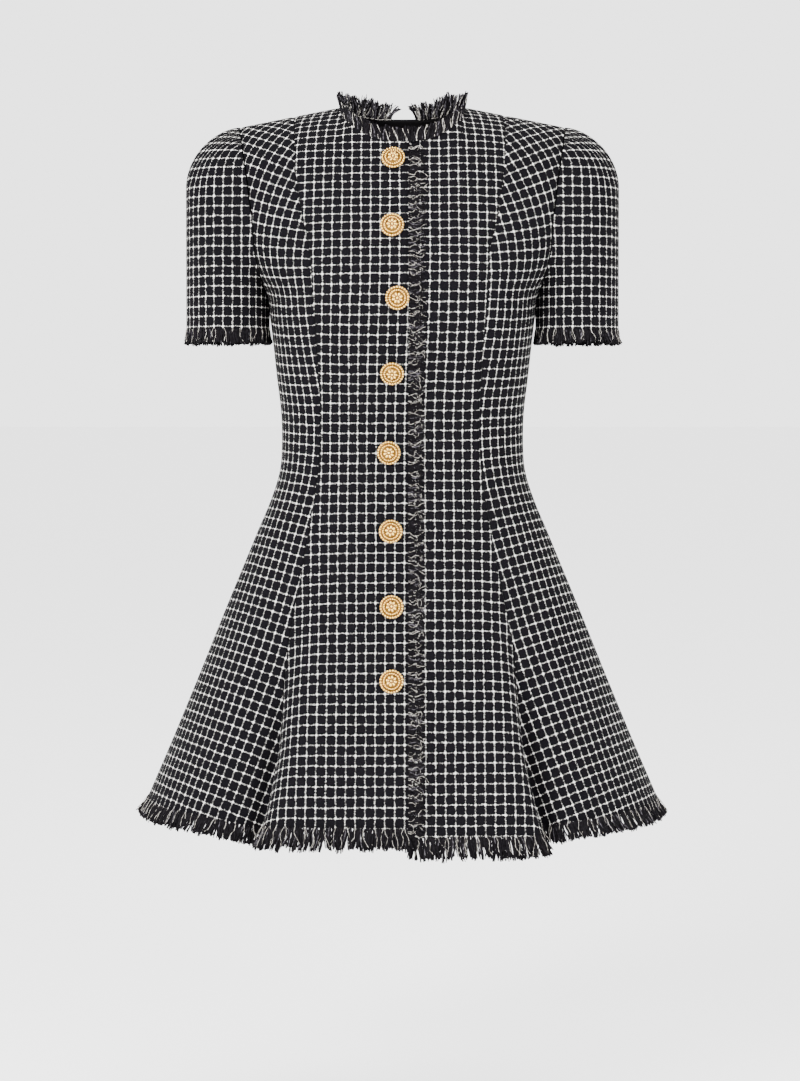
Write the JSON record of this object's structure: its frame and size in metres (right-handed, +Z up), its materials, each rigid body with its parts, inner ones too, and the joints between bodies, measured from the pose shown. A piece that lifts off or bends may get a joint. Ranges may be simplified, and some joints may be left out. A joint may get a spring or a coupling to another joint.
{
  "type": "pleated flared dress",
  "caption": "Short-sleeved button-front flared dress with princess seams, a fitted waist, deep skirt folds and a frayed fringe round neck, front edge, sleeves and hem.",
  "frame": {"origin": "midway between the two shoulder seams where they meet the neck, at the height of those points", "axes": "+Z up, -Y out of the dress's front, +X towards the wearer's left"},
  "size_m": [0.5764, 0.3729, 0.7879],
  "materials": {
    "tweed": "black boucle tweed with an off-white windowpane check",
    "yarn": "frayed black yarn with off-white strands",
    "lining": "smooth black cloth",
    "gold": "polished gold-plated metal"
  },
  "bodies": {
    "root": {"front_left": "tweed", "front_right": "tweed", "side_front_left": "tweed", "side_front_right": "tweed", "side_back_left": "tweed", "side_back_right": "tweed", "centre_back": "tweed", "sleeve_left": "tweed", "sleeve_right": "tweed", "back_neck_facing": "lining", "neck_fringe": "yarn", "placket_fringe": "yarn", "hem_fringe": "yarn", "sleeve_fringe_left": "yarn", "sleeve_fringe_right": "yarn", "button_1": "gold", "button_2": "gold", "button_3": "gold", "button_4": "gold", "button_5": "gold", "button_6": "gold", "button_7": "gold", "button_8": "gold"}
  },
  "joints": []
}
